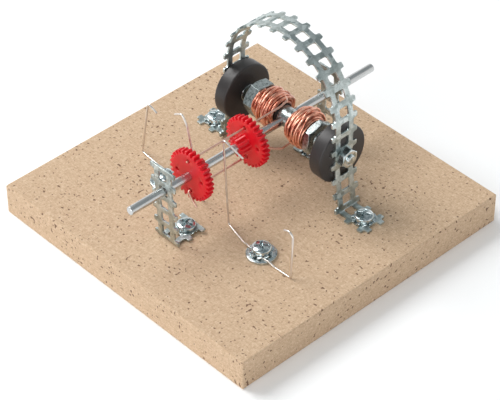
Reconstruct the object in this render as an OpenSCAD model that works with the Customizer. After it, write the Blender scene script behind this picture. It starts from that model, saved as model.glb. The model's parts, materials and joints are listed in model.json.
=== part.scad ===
// Demonstration electric motor: a coil on a cross bolt turns between two disc magnets, which hang
// from an arch of perforated strap on a square board. Two toothed wheels on the axle hold the
// commutator wires, and two bent wires beside them are the brushes.
// Origin: middle of the board's underside. +X runs across the arch, +Y along the axle, +Z up.

/* [Board] */
// Side of the square board
board_side = 100; // [96:1:130]
// Thickness of the board
board_t = 10; // [9:0.5:16]

/* [Perforated strap] */
// Distance between the rows of square holes
pitch = 5; // [4.8:0.05:5.2]
// Width of a square hole
hole_w = 3.3; // [3.1:0.05:3.5]
// Width of the strap, two pitches less the saw cuts
strap_w = 9.7; // [9:0.1:10]
// Thickness of the sheet
strap_t = 0.6; // [0.4:0.05:0.8]
// Radius of a bend at the middle of the sheet
bend_r = 0.8; // [0.7:0.05:1]

/* [Axle] */
// Diameter of the axle
axle_d = 2.6; // [2:0.1:2.9]
// Height of the axle above the board
axle_h = 18.7; // [18:0.1:22]
// Length of axle in front of the middle of the board
axle_front = 45.3; // [40:0.5:48]
// Length of axle behind the middle of the board
axle_rear = 48.8; // [42:0.5:49.5]

/* [Arch] */
// Radius of the arch at the middle of the sheet
arch_r = 22; // [21.8:0.1:24]
// Hole spacings along the strap between the two magnet screws
arch_pitches = 18; // [18:1:21]
// Shift of the arch off the board's middle
arch_x = 0.85; // [0:0.05:1.5]
// Distance of the arch behind the board's middle
arch_y = 14.2; // [13:0.1:16]
// Slope of the legs' lower ends, outward
flare = 8.5; // [0:0.5:9]
// Height above the board at which the slope starts
flare_top = 15; // [13.5:0.1:16]
// Distance of each foot's screw from the leg's upright part
foot_screw_out = 8.9; // [8.4:0.1:9.6]
// Strap left beyond each foot's screw
foot_end = 4.8; // [4.4:0.1:5.2]

/* [Bearings] */
// Distance of the front bearing strap in front of the middle
front_bearing_y = 31.9; // [28:0.1:34]
// Distance of the rear bearing strap behind the middle
rear_bearing_y = 31.6; // [28:0.1:34]
// Lean of the front bearing strap, away from the motor
front_lean = 2.3; // [0:0.1:2.5]
// Distance of a bearing's screw from its strap
bearing_screw_in = 7; // [6:0.1:7.5]
// Strap left beyond a bearing's screw
bearing_end = 3; // [3:0.1:4.8]
// Strap left above a bearing's upper hole
bearing_rim = 1.7; // [1:0.1:1.7]

/* [Magnets] */
// Diameter of a disc magnet
magnet_d = 18; // [16:0.5:19]
// Thickness of a disc magnet
magnet_t = 4.5; // [3.5:0.1:4.8]
// Hole through a magnet
magnet_hole_d = 4.3; // [3.8:0.1:4.8]
// Rounding of a magnet's rims
magnet_rim = 0.5; // [0.3:0.05:0.8]

/* [Core and windings] */
// Thread diameter of the core bolt
core_d = 6; // [5:0.5:6.5]
// Width across flats of the core bolt's head and nut
core_flats = 10; // [9:0.5:10]
// Height of the core bolt's head
core_head_h = 3.8; // [3.2:0.1:4]
// Height of the core nut
core_nut_h = 2.5; // [2.2:0.1:4]
// Distance from the axle to the bolt's head
core_head_at = 9.6; // [9:0.1:10.4]
// Distance from the axle to the nut
core_nut_at = 10.8; // [10:0.1:10.9]
// Thread that shows past the nut
core_end = 0.5; // [0.2:0.1:0.7]
// Distance of the core behind the board's middle
core_y = 14.7; // [14:0.1:15.5]
// Turn of the rotor at rest, its +X end down
rest_turn = 2; // [0:1:10]
// Thickness of the insulating tape on the core
tape_t = 0.3; // [0.2:0.05:0.4]
// Turn of the bolt's head about the core, from a flat on top
head_turn = -5; // [-30:0.5:30]
// Turn of the nut about the core, from a flat on top
nut_turn = 18.5; // [-30:0.5:30]
// Copper wire diameter
copper_d = 0.65; // [0.5:0.05:0.65]
// Outer diameter of the winding by the bolt's head
left_winding_d = 11.2; // [10:0.1:12.5]
// Outer diameter of the winding by the nut
right_winding_d = 12.8; // [11:0.1:13.4]
// Gap between the axle's middle and each winding
winding_gap = 2.7; // [2.3:0.1:3.2]
// Distance from one turn to the next in a winding's outer layer
turn_space = 1.1; // [1.08:0.01:1.3]

/* [Commutator] */
// Tip diameter of a toothed wheel
wheel_d = 16; // [14:0.5:17]
// Teeth on a toothed wheel
wheel_teeth = 30; // [24:1:32]
// Face width of a toothed wheel
wheel_t = 2.3; // [2:0.1:3]
// Tip diameter of the pinion moulded on each wheel
pinion_d = 5; // [4.8:0.1:6]
// Teeth on a pinion
pinion_teeth = 8; // [8:1:10]
// Length of a pinion
pinion_len = 3.6; // [3:0.1:4]
// Front face of the front wheel, in front of the middle
front_wheel_y = 23.4; // [22:0.1:25]
// Front face of the rear wheel, in front of the middle
rear_wheel_y = 2.1; // [1.8:0.1:3]
// Radius of the circle of four small holes
wheel_hole_r = 5; // [4.6:0.1:5.4]
// Diameter of a small hole
wheel_hole_d = 1.3; // [1.1:0.1:1.5]
// Turn of the wheels against the core
wheel_turn = 6; // [0:1:20]

/* [Brushes] */
// Diameter of the spring wire
brush_d = 0.6; // [0.5:0.05:0.7]
// Gap between a brush and the path of the commutator wires
brush_gap = 0.2; // [0.15:0.05:0.4]

/* [Screws] */
// Diameter of a wood screw's head
screw_head_d = 5.7; // [5.2:0.1:6]
// Height of a wood screw's head
screw_head_h = 1.7; // [1.6:0.1:2.4]
// Diameter of a wood screw's shank
screw_d = 3; // [2.6:0.1:3.1]
// Length of shank in the board
screw_depth = 7.5; // [6:0.1:8]
// Outer diameter of a toothed washer
lock_washer_d = 7.2; // [6.6:0.1:8]
// Thickness of a toothed washer
lock_washer_t = 0.5; // [0.3:0.05:0.6]
// Outer diameter of a plain washer
plain_washer_d = 9; // [8.4:0.1:10]
// Thickness of a plain washer
plain_washer_t = 0.8; // [0.5:0.05:1]
// Thread diameter of a magnet screw
magnet_screw_d = 3; // [2.8:0.1:3]
// Width across flats of a magnet nut
magnet_nut_flats = 5.5; // [5:0.1:6]
// Height of a magnet nut
magnet_nut_h = 2.4; // [2:0.1:2.8]

/* [Hidden] */

$fn = 64;
cut = 0.1;                                   // overshoot of a cutting tool
fit = 0.05;                                  // radial clearance of a shank in its hole
seat = 0.02;                                 // clearance of pieces pressed together
galvanised = "#aab4b6";
zinc = "#b9c6cc";
copper = "#b5643c";

axle_z = board_t + axle_h;
leg_top = axle_h + (arch_pitches * pitch - PI * arch_r) / 2;
leg_x = arch_r;
magnet_face = leg_x - strap_t / 2 - magnet_t;
strap_rows_below = floor((axle_h - hole_w / 2) / pitch);
bearing_top = axle_h + pitch + hole_w / 2 + bearing_rim;
foot_len = foot_screw_out + foot_end;
bearing_foot_len = bearing_screw_in + bearing_end;
head_bottom_foot = board_t + strap_t + lock_washer_t;
wire_on_washer = plain_washer_t + brush_d / 2;
head_bottom_brush = board_t + plain_washer_t + brush_d + lock_washer_t;
tape_r = core_d / 2 + tape_t;
sweep_r = wheel_hole_r + copper_d / 2;

// Places where screws stand on the board, [x, y]
arch_screw_spots = [for (s = [-1, 1]) [arch_x + s * (leg_x + foot_screw_out), arch_y]];
bearing_screw_spots = [[0, -front_bearing_y + bearing_screw_in],
  [0, rear_bearing_y - bearing_screw_in]];
right_brush_spot = [22.3, -16.8, 0];
left_brush_spot = [-19.4, -15.5, 0];
brush_spots = [right_brush_spot, left_brush_spot];

// ---- helpers -------------------------------------------------------------------------------

function unit(v) = v / norm(v);

function backwards(list) = [for (i = [len(list) - 1 : -1 : 0]) list[i]];

// Frames along a path: each ring lies square to the mean of its two neighbouring steps.
function heading(path, i) = unit(
  i == 0 ? path[1] - path[0] :
  i == len(path) - 1 ? path[i] - path[i - 1] :
  unit(path[i] - path[i - 1]) + unit(path[i + 1] - path[i]));

// The first side vector, then each next one turned the least from the one before it.
function carry(side, t) = unit(side - (side * t) * t);
function sides_along(path, start) = [
  for (i = 0, s = carry(start, heading(path, 0)); i < len(path);
    i = i + 1, s = i < len(path) ? carry(s, heading(path, i)) : s) s];

// A round tube of n sides swept along a path, closed at both ends.
module tube(path, d, start, n = 6) {
  sides = sides_along(path, start);
  rings = [for (i = [0 : len(path) - 1])
    let (t = heading(path, i), u = sides[i], v = cross(t, u))
    for (k = [0 : n - 1]) path[i] + d / 2 * (cos(360 * k / n) * u + sin(360 * k / n) * v)];
  last = (len(path) - 1) * n;
  walls = [for (i = [0 : len(path) - 2]) for (k = [0 : n - 1])
    let (a = i * n + k, b = i * n + (k + 1) % n)
    for (f = [[a, a + n, b + n], [a, b + n, b]]) f];
  caps = [for (k = [1 : n - 2]) for (f = [[0, k, k + 1], [last, last + k + 1, last + k]]) f];
  polyhedron(rings, concat(walls, caps), convexity = 10);
}

// Points of a route with each corner rounded by a quadratic curve that starts r from the corner.
function rounded(p, r, steps = 4) = concat([p[0]],
  [for (i = [1 : len(p) - 2])
    let (a = p[i] + min(r, norm(p[i - 1] - p[i]) / 2) * unit(p[i - 1] - p[i]),
         b = p[i] + min(r, norm(p[i + 1] - p[i]) / 2) * unit(p[i + 1] - p[i]))
    for (k = [0 : steps]) let (t = k / steps)
      (1 - t) * (1 - t) * a + 2 * t * (1 - t) * p[i] + t * t * b],
  [p[len(p) - 1]]);

// One row of the strap's holes: the middle hole and the two half holes at the edges, as cutters
// centred on the sheet. Local X is through the sheet, Y across the strap, Z along it.
module hole_row() {
  depth = strap_t + 2 * bend_r - 2 * cut;
  for (s = [-1 : 1]) translate([0, s * pitch, 0]) cube([depth, hole_w, hole_w], center = true);
}

module hex(flats, h) {
  cylinder(d = flats / cos(30), h = h, $fn = 6);
}

// Hexagon with its corners turned off at the far end.
module chamfered_hex(flats, h) {
  intersection() {
    hex(flats, h);
    union() {
      cylinder(d = flats / cos(30) + 1, h = h - flats * 0.08);
      translate([0, 0, h - flats * 0.08])
        cylinder(d1 = flats / cos(30) + 0.02, d2 = flats * 0.93, h = flats * 0.08);
    }
  }
}

// ---- board ---------------------------------------------------------------------------------

module base_board() {
  color("#c9a98a") difference() {
    translate([-board_side / 2, -board_side / 2, 0]) cube([board_side, board_side, board_t]);
    for (p = concat(arch_screw_spots, bearing_screw_spots, brush_spots))
      translate([p[0], p[1], board_t - screw_depth - 2 * fit])
        cylinder(d = screw_d + 2 * fit, h = screw_depth + cut + 2 * fit);
  }
}

// ---- straps --------------------------------------------------------------------------------

// Side view of a strap that rises from the origin to a height, leaning towards -X, with a foot
// that lies on the board along +X. The bend's arcs have their centre at bend_x, above the foot.
function bend_x(lean) = (bend_r - (strap_t / 2 + bend_r) * sin(lean)) / cos(lean);
function bend_arc(r, lean, steps = 6) = [for (k = [0 : steps])
  let (a = 270 - (90 - lean) * k / steps)
  [bend_x(lean) + r * cos(a), strap_t / 2 + bend_r + r * sin(a)]];
function strap_side(high, foot, lean) = let (
  top = high * [-sin(lean), cos(lean)],
  half = strap_t / 2 * [cos(lean), sin(lean)],
  inner = bend_arc(bend_r - strap_t / 2, lean))
  concat([[foot, 0]], bend_arc(bend_r + strap_t / 2, lean), [top - half, top + half],
    backwards(inner), [[foot, strap_t]]);

// One face of the arch, seen from the side, from the right foot's end to the left foot's: r_bend is
// its radius in the bends, r_arch its radius in the arch and z its height at the feet.
function arch_face(r_bend, r_arch, z, steps = 24) = let (
  right = concat([[leg_x + foot_len, z]],
    [for (p = bend_arc(r_bend, flare)) [leg_x + flare_top * tan(flare), 0] + p],
    [[leg_x, flare_top] + (r_arch - arch_r) * [1, tan(flare / 2)]],
    [for (k = [0 : steps]) let (a = 180 * k / (2 * steps + 1))
      [0, leg_top] + r_arch * [cos(a), sin(a)]]))
  concat(right, [for (p = backwards(right)) [-p[0], p[1]]]);

// Cutters along a foot: the row round its screw, and one to each side.
module foot_rows(screw_at) {
  for (k = [-1 : 1]) translate([screw_at + k * pitch, 0, strap_t / 2]) rotate([0, 90, 0]) hole_row();
}

module arch_strap() {
  color(galvanised) translate([arch_x, arch_y, board_t]) difference() {
    rotate([90, 0, 0]) linear_extrude(strap_w, center = true)
      polygon(concat(arch_face(bend_r + strap_t / 2, arch_r - strap_t / 2, 0),
        backwards(arch_face(bend_r - strap_t / 2, arch_r + strap_t / 2, strap_t))));
    for (s = [0, 180]) rotate([0, 0, s]) translate([leg_x, 0, 0]) {
      foot_rows(foot_screw_out);
      for (k = [-strap_rows_below : arch_pitches]) {
        z = axle_h + k * pitch;
        below = flare_top - z;
        if (below > 0) translate([below * sin(flare), 0, flare_top - below * cos(flare)])
          rotate([0, -flare, 0]) hole_row();
        else if (z < leg_top) translate([0, 0, z]) hole_row();
      }
    }
    for (k = [0 : arch_pitches]) {
      along = k * pitch - (leg_top - axle_h);
      angle = along / arch_r * 180 / PI;
      if (along > 0 && angle < 180)
        translate([0, 0, leg_top]) rotate([0, -angle, 0]) translate([arch_r, 0, 0]) hole_row();
    }
  }
}

// A strap across the axle with a foot towards +X, made in its own frame; it leans the other way.
module bearing_strap(lean) {
  difference() {
    rotate([90, 0, 0]) linear_extrude(strap_w, center = true)
      polygon(strap_side(bearing_top, bearing_foot_len, lean));
    rotate([0, -lean, 0]) for (k = [-1 : strap_rows_below])
      translate([0, 0, axle_h - k * pitch]) hole_row();
    foot_rows(bearing_screw_in);
  }
}

module front_bearing_strap() {
  color(galvanised) translate([0, -front_bearing_y, board_t])
    rotate([0, 0, 90]) bearing_strap(front_lean);
}

module rear_bearing_strap() {
  color(galvanised) translate([0, rear_bearing_y, board_t])
    rotate([0, 0, -90]) bearing_strap(0);
}

// ---- screws and washers --------------------------------------------------------------------

// Pan-head wood screw with a cross recess, its head's underside at z = 0.
module wood_screw(grip) {
  neck = screw_head_h * 0.45;
  point = screw_d / 2;
  point_d = 0.4;
  recess_len = screw_head_d * 0.6;
  recess_w = 0.7;
  recess_floor = screw_head_h * 0.4;
  difference() {
    union() {
      cylinder(d = screw_head_d, h = neck);
      translate([0, 0, neck]) rotate_extrude()
        dome_profile(screw_head_d / 2, screw_head_h - neck);
      translate([0, 0, -grip - screw_depth + point])
        cylinder(d = screw_d, h = grip + screw_depth - point);
      translate([0, 0, -grip - screw_depth]) cylinder(d1 = point_d, d2 = screw_d, h = point);
    }
    for (a = [0, 90]) rotate([0, 0, a]) translate([-recess_len / 2, -recess_w / 2, recess_floor])
      cube([recess_len, recess_w, screw_head_h]);
  }
}

// Part of a circle of the given half width and rise, standing on y = 0.
module dome_profile(half, rise) {
  r = (half * half + rise * rise) / (2 * rise);
  intersection() {
    translate([0, rise - r]) circle(r = r, $fn = 96);
    square([half, rise]);
  }
}

// A washer with ten outer teeth, as deep as the gaps between them are wide.
module toothed_washer() {
  teeth = 10;
  gap = 0.9;
  difference() {
    cylinder(d = lock_washer_d, h = lock_washer_t);
    translate([0, 0, -cut]) cylinder(d = screw_d + 4 * fit, h = lock_washer_t + 2 * cut);
    for (k = [1 : teeth]) rotate([0, 0, 360 * k / teeth])
      translate([lock_washer_d / 2 - gap, -gap / 2, -cut])
        cube([lock_washer_d, gap, lock_washer_t + 2 * cut]);
  }
}

module arch_foot_screws() {
  color(zinc) for (p = arch_screw_spots)
    translate([p[0], p[1], head_bottom_foot]) rotate([0, 0, 30]) wood_screw(head_bottom_foot - board_t);
}

module bearing_foot_screws() {
  color(zinc) for (p = bearing_screw_spots)
    translate([p[0], p[1], head_bottom_foot]) rotate([0, 0, 15]) wood_screw(head_bottom_foot - board_t);
}

module brush_screws() {
  color(zinc) for (p = brush_spots)
    translate([p[0], p[1], head_bottom_brush]) rotate([0, 0, 50])
      wood_screw(head_bottom_brush - board_t);
}

module foot_toothed_washers() {
  color(zinc) for (p = concat(arch_screw_spots, bearing_screw_spots))
    translate([p[0], p[1], board_t + strap_t]) toothed_washer();
}

module brush_toothed_washers() {
  color(zinc) for (p = brush_spots)
    translate([p[0], p[1], head_bottom_brush - lock_washer_t]) toothed_washer();
}

module brush_plain_washers() {
  color(zinc) for (p = brush_spots)
    translate([p[0], p[1], board_t]) difference() {
      cylinder(d = plain_washer_d, h = plain_washer_t);
      translate([0, 0, -cut]) cylinder(d = screw_d + 4 * fit, h = plain_washer_t + 2 * cut);
    }
}

// ---- magnets -------------------------------------------------------------------------------

// A disc magnet on the +X side of the arch, with rounded rims.
module magnet() {
  r = magnet_d / 2;
  translate([magnet_face, 0, axle_h]) rotate([0, 90, 0]) rotate_extrude($fn = 96) difference() {
    translate([magnet_hole_d / 2, 0]) square([r - magnet_hole_d / 2, magnet_t]);
    for (m = [0, 1]) translate([0, m * magnet_t]) mirror([0, m]) difference() {
      translate([r - magnet_rim, -cut]) square([magnet_rim + cut, magnet_rim + cut]);
      translate([r - magnet_rim, magnet_rim]) circle(r = magnet_rim, $fn = 32);
    }
  }
}

module right_magnet() {
  color("#3a3634") translate([arch_x, arch_y, board_t]) magnet();
}

module left_magnet() {
  color("#3a3634") translate([arch_x, arch_y, board_t]) mirror([1, 0, 0]) magnet();
}

// A countersunk screw from inside, through the magnet and the strap's hole, for a nut outside.
module magnet_screw() {
  sunk = (magnet_hole_d - magnet_screw_d) / 2;
  proud = 0.6;
  past_nut = 0.6;
  slot_w = 0.8;
  slot_depth = 0.6;
  len = magnet_t + strap_t + magnet_nut_h + past_nut;
  translate([magnet_face, 0, axle_h]) rotate([0, 90, 0]) difference() {
    union() {
      translate([0, 0, -proud])
        cylinder(d1 = magnet_hole_d + 2 * proud - seat, d2 = magnet_screw_d - seat, h = proud + sunk);
      cylinder(d = magnet_screw_d, h = len);
    }
    translate([-slot_w / 2, -magnet_hole_d, -proud - cut])
      cube([slot_w, 2 * magnet_hole_d, slot_depth + cut]);
  }
}

module magnet_screws() {
  color(zinc) translate([arch_x, arch_y, board_t])
    for (m = [0, 1]) mirror([m, 0, 0]) magnet_screw();
}

module magnet_nuts() {
  color(zinc) translate([arch_x, arch_y, board_t + axle_h]) for (m = [0, 1]) mirror([m, 0, 0])
    translate([leg_x + strap_t / 2, 0, 0]) rotate([0, 90, 0]) rotate([0, 0, 10]) difference() {
      chamfered_hex(magnet_nut_flats, magnet_nut_h);
      translate([0, 0, -cut]) cylinder(d = magnet_screw_d + 2 * seat, h = magnet_nut_h + 2 * cut);
    }
}

// ---- rotor ---------------------------------------------------------------------------------

// Children in the rotor's frame: axle along Y through the origin, core along X.
module at_rotor() {
  translate([0, 0, axle_z]) rotate([0, rest_turn, 0]) children();
}

module axle() {
  tip = 0.35;
  color("#b9bfc2") translate([0, 0, axle_z]) rotate([-90, 0, 0]) {
    translate([0, 0, -axle_front + tip]) cylinder(d = axle_d, h = axle_front + axle_rear - 2 * tip);
    translate([0, 0, -axle_front]) cylinder(d1 = axle_d - 2 * tip, d2 = axle_d, h = tip);
    translate([0, 0, axle_rear - tip]) cylinder(d1 = axle_d, d2 = axle_d - 2 * tip, h = tip);
  }
}

// Outline of a toothed wheel: each tooth is narrower at its tip than at its root.
function gear_outline(tip_r, root_r, teeth) = [
  for (k = [0 : teeth - 1]) for (c = [[root_r, -0.31], [tip_r, -0.13], [tip_r, 0.13], [root_r, 0.31]])
    let (a = 360 * (k + c[1]) / teeth) [c[0] * cos(a), c[0] * sin(a)]];

// A wheel with its flat face at the origin and its body and pinion along +Z.
module commutator_wheel() {
  tooth = wheel_d / (wheel_teeth + 2) * 2.1;
  pinion_tooth = pinion_d / (pinion_teeth + 2) * 1.7;
  difference() {
    union() {
      linear_extrude(wheel_t)
        polygon(gear_outline(wheel_d / 2, wheel_d / 2 - tooth, wheel_teeth));
      linear_extrude(wheel_t + pinion_len)
        polygon(gear_outline(pinion_d / 2, pinion_d / 2 - pinion_tooth, pinion_teeth));
    }
    translate([0, 0, -cut]) cylinder(d = axle_d + 2 * seat, h = wheel_t + pinion_len + 2 * cut);
    for (a = [0 : 90 : 359]) rotate([0, 0, a]) translate([wheel_hole_r, 0, -cut])
      cylinder(d = wheel_hole_d, h = wheel_t + 2 * cut, $fn = 24);
  }
}

// The pinions face each other, between the wheels.
module front_commutator_wheel() {
  color("#d8262c") at_rotor() translate([0, -front_wheel_y, 0]) rotate([-90, 0, 0])
    rotate([0, 0, -wheel_turn]) commutator_wheel();
}

module rear_commutator_wheel() {
  color("#d8262c") at_rotor() translate([0, -rear_wheel_y + wheel_t, 0]) rotate([90, 0, 0])
    rotate([0, 0, wheel_turn]) commutator_wheel();
}

module core_bolt() {
  thread_end = core_nut_at + core_nut_h + core_end;
  tip = 0.5;
  color("#aeb3b5") at_rotor() translate([0, core_y, 0]) difference() {
    rotate([0, 90, 0]) {
      translate([0, 0, -core_head_at]) mirror([0, 0, 1]) rotate([0, 0, 30 + head_turn])
        chamfered_hex(core_flats, core_head_h);
      translate([0, 0, -core_head_at]) cylinder(d = core_d, h = core_head_at + thread_end - tip);
      translate([0, 0, thread_end - tip]) cylinder(d1 = core_d, d2 = core_d - 2 * tip, h = tip);
    }
    rotate([90, 0, 0]) cylinder(d = axle_d + 2 * seat, h = core_flats * 2, center = true);
  }
}

module core_nut() {
  color("#c3c7c8") at_rotor() translate([core_nut_at, core_y, 0]) rotate([0, 90, 0]) difference() {
    rotate([0, 0, 30 + nut_turn]) chamfered_hex(core_flats, core_nut_h);
    translate([0, 0, -cut]) cylinder(d = core_d + 2 * seat, h = core_nut_h + 2 * cut);
  }
}

// A sleeve on the core, from the winding's gap to the head or nut, on the +X side.
module core_sleeve(inner_r, outer_r, to) {
  translate([winding_gap, core_y, 0]) rotate([0, 90, 0]) difference() {
    cylinder(r = outer_r, h = to - seat - winding_gap);
    translate([0, 0, -cut]) cylinder(r = inner_r, h = to - winding_gap + 2 * cut);
  }
}

module right_core_tape() {
  color("#2b2422") at_rotor() core_sleeve(core_d / 2 + seat, tape_r, core_nut_at);
}

module left_core_tape() {
  color("#2b2422") at_rotor() mirror([1, 0, 0])
    core_sleeve(core_d / 2 + seat, tape_r, core_head_at);
}

// The inner layers of a winding as one sleeve, just inside the straight steps of the outer turns.
module winding_core(d, to) {
  core_sleeve(tape_r, turns_r(d) * cos(180 / loop_steps) - copper_d / 2 - seat, to);
}

module right_winding_core() {
  color("#8f4a2e") at_rotor() winding_core(right_winding_d, core_nut_at);
}

module left_winding_core() {
  color("#8f4a2e") at_rotor() mirror([1, 0, 0]) winding_core(left_winding_d, core_head_at);
}

// The outer layer of a winding of outer diameter d whose wire comes in from -Y under the core,
// turns round it in a helix about X, and ends square against the face at x = to. Local z is
// turned over for the left winding, whose wire comes in over the core.
loop_steps = 24;
lead_in = 1.3;
tail = 0.7;
winding_start = winding_gap + 0.4;
function turns_r(d) = (d - copper_d) / 2;
function turns_in(to) = floor((to - winding_start - 2 * copper_d - tail / 2) / turn_space
  * loop_steps) / loop_steps;
function on_helix(d, t) = [winding_start + turn_space * t,
  turns_r(d) * sin(360 * t), -turns_r(d) * cos(360 * t)];
function winding_route(d, to) = let (
  n = turns_in(to),
  last = on_helix(d, n),
  corner = last + tail * [0, cos(360 * n), sin(360 * n)])
  concat([[winding_start, -lead_in, -turns_r(d)], [winding_start, -lead_in / 2, -turns_r(d)]],
    [for (i = [0 : round(n * loop_steps) - 1]) on_helix(d, i / loop_steps)],
    rounded([last, corner, [to - seat, corner[1], corner[2]]], tail));
right_turns = winding_route(right_winding_d, core_nut_at);
left_turns = [for (p = winding_route(left_winding_d, core_head_at)) [-p[0], p[1], -p[2]]];

// Least gap between one stretch of a winding and any other more than half a loop away.
function least_gap(route) = min([for (i = [0 : len(route) - loop_steps / 2 - 1])
  for (j = [i + loop_steps / 2 : len(route) - 1]) norm(route[i] - route[j])]) - copper_d;
echo(least_gap_right = least_gap(right_turns), least_gap_left = least_gap(left_turns));

module right_winding_turns() {
  color(copper) at_rotor() translate([0, core_y, 0]) tube(right_turns, copper_d, [1, 0, 0], 6);
}

module left_winding_turns() {
  color(copper) at_rotor() translate([0, core_y, 0]) tube(left_turns, copper_d, [1, 0, 0], 6);
}

// A point in the rotor's frame on the circle of small holes; angle 0 is +X, 90 is up.
function on_wheel(angle, y) = [wheel_hole_r * cos(angle), y, wheel_hole_r * sin(angle)];

// Bars of the commutator: straight through both wheels, then on to a winding, end to end.
bar_proud = 0.5;
bar_front = -front_wheel_y - bar_proud;
bar_back = -rear_wheel_y + wheel_t + 2 * bar_proud;
upper_angle = 90 + wheel_turn;
lower_angle = upper_angle + 180;
upper_end = [0, core_y, 0] + left_turns[0];
lower_end = [0, core_y, 0] + right_turns[0];
upper_route = rounded([on_wheel(upper_angle, bar_front), on_wheel(upper_angle, bar_back),
  on_wheel(upper_angle, core_y - 3 * lead_in), upper_end - [0, lead_in, 0], upper_end], lead_in / 2);
// The lower bar's front end is left long and bent down over the wheel's rim.
tail_y = -front_wheel_y - 0.4 - copper_d / 2;
lower_route = rounded([[4.1, tail_y, -8.6], [1.6, tail_y, -6.4], on_wheel(lower_angle, tail_y),
  on_wheel(lower_angle, bar_back), lower_end - [0, lead_in, 0], lower_end], lead_in / 2);

module upper_commutator_wire() {
  color(copper) at_rotor() tube(upper_route, copper_d, [1, 0, 0], 8);
}

module lower_commutator_wire() {
  color(copper) at_rotor() tube(lower_route, copper_d, [1, 0, 0], 8);
}

// ---- brushes -------------------------------------------------------------------------------

// Heights in the routes are above the board's top face. Each wire lies on the board, climbs onto
// its plain washer, passes the screw's shank on one side and comes down again.
floor_z = brush_d / 2;
brush_x = sweep_r + brush_gap + brush_d / 2;
shank_side = screw_d / 2 + brush_d / 2 + fit;
on_edge = plain_washer_d / 2 + 0.5;
off_edge = on_edge + 1.4;
right_route = [
  [29.7, -15.4, 13], [31.7, -15.4, 13.8], [33.5, -15.6, 13], [35.1, -17.9, floor_z],
  right_brush_spot + [off_edge, -1.3, floor_z],
  right_brush_spot + [on_edge, -1.5, wire_on_washer],
  right_brush_spot + [0, -shank_side, wire_on_washer],
  right_brush_spot + [-on_edge, -0.9, wire_on_washer],
  right_brush_spot + [-off_edge, -0.5, floor_z],
  [brush_x + 1.1, -15, floor_z], [brush_x - 0.7, -15, 29.9], [brush_x + 7.2, -15, 27.9]];
left_route = [
  [-26.8, -11.5, 18.8], [-30.6, -11.5, 20.2], [-34, -11.5, floor_z],
  left_brush_spot + [-off_edge, 3.3, floor_z],
  left_brush_spot + [-on_edge, 2.9, wire_on_washer],
  left_brush_spot + [0, shank_side, wire_on_washer],
  left_brush_spot + [on_edge, 1.9, wire_on_washer],
  left_brush_spot + [off_edge, 1.9, floor_z],
  [-brush_x - 0.2, -13.4, floor_z], [0.2 - brush_x, -16.4, 17], [-brush_x - 2.4, -16.6, 28.3],
  [-brush_x - 4.3, -16.6, 31], [-brush_x - 7.3, -16.6, 29.2]];

module brush(route) {
  color("#c8c3bb") translate([0, 0, board_t]) tube(rounded(route, 0.9, 3), brush_d, [0, 1, 0], 8);
}

module right_brush() {
  brush(right_route);
}

module left_brush() {
  brush(left_route);
}

base_board();
arch_strap();
front_bearing_strap();
rear_bearing_strap();
arch_foot_screws();
bearing_foot_screws();
brush_screws();
foot_toothed_washers();
brush_toothed_washers();
brush_plain_washers();
left_magnet();
right_magnet();
magnet_screws();
magnet_nuts();
axle();
front_commutator_wheel();
rear_commutator_wheel();
upper_commutator_wire();
lower_commutator_wire();
core_bolt();
core_nut();
left_core_tape();
right_core_tape();
left_winding_core();
right_winding_core();
left_winding_turns();
right_winding_turns();
left_brush();
right_brush();
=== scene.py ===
"""Looks of the demonstration motor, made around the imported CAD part.

Lengths are millimetres in the part's own frame: the origin is the middle of the board's underside, +X
runs across the arch, +Y along the axle and +Z up. mesh_of() turns them into metres. A surface is an array
of points [rows, columns, 3], and rows or columns that meet are merged, so a closed form has no seam.
"""
import json
import math

import bmesh
import bpy
import numpy as np
from mathutils import Matrix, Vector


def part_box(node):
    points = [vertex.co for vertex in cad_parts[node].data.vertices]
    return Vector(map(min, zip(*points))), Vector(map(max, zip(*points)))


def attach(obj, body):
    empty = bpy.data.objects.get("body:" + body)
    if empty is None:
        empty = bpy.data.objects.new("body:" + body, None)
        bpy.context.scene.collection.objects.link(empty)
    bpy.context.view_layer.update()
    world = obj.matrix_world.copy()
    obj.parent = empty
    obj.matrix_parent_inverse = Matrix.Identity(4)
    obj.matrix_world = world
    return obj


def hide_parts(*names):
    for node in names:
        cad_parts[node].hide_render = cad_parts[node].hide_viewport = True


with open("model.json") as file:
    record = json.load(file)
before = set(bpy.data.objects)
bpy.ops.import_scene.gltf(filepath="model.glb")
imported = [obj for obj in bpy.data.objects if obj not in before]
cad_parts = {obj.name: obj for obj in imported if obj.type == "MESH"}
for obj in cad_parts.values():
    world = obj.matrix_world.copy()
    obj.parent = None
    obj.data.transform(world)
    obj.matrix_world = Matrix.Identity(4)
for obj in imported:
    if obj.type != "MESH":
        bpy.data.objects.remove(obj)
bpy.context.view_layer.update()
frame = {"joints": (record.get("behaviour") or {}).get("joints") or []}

MM = 0.001
TAU = 2 * math.pi
X, Y, Z = np.eye(3)


def box(node):
    """Lowest and highest corner of a CAD node, in millimetres."""
    low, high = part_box(node)
    return np.array(low) / MM, np.array(high) / MM


# ---- camera ----------------------------------------------------------------------------------

CAMERA_PLACE = (0.36199, -0.34011, 0.43398)
CAMERA_AZIMUTH, CAMERA_ELEVATION, CAMERA_ROLL = 46.805, 40.743, -0.098
CAMERA_LENS, SENSOR = 163.43, 36.0


def make_camera():
    """A camera that looks down on the motor from the front right."""
    data = bpy.data.cameras.new("camera")
    data.lens = CAMERA_LENS
    data.sensor_width = SENSOR
    camera = bpy.data.objects.new("camera", data)
    turn = Matrix.Rotation(math.radians(CAMERA_AZIMUTH), 4, "Z")
    tilt = Matrix.Rotation(math.radians(90 - CAMERA_ELEVATION), 4, "X")
    roll = Matrix.Rotation(math.radians(CAMERA_ROLL), 4, "Z")
    camera.matrix_world = Matrix.Translation(CAMERA_PLACE) @ turn @ tilt @ roll
    bpy.context.scene.collection.objects.link(camera)
    bpy.context.scene.camera = camera


# ---- sizes taken from the frame ----------------------------------------------------------------

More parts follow.
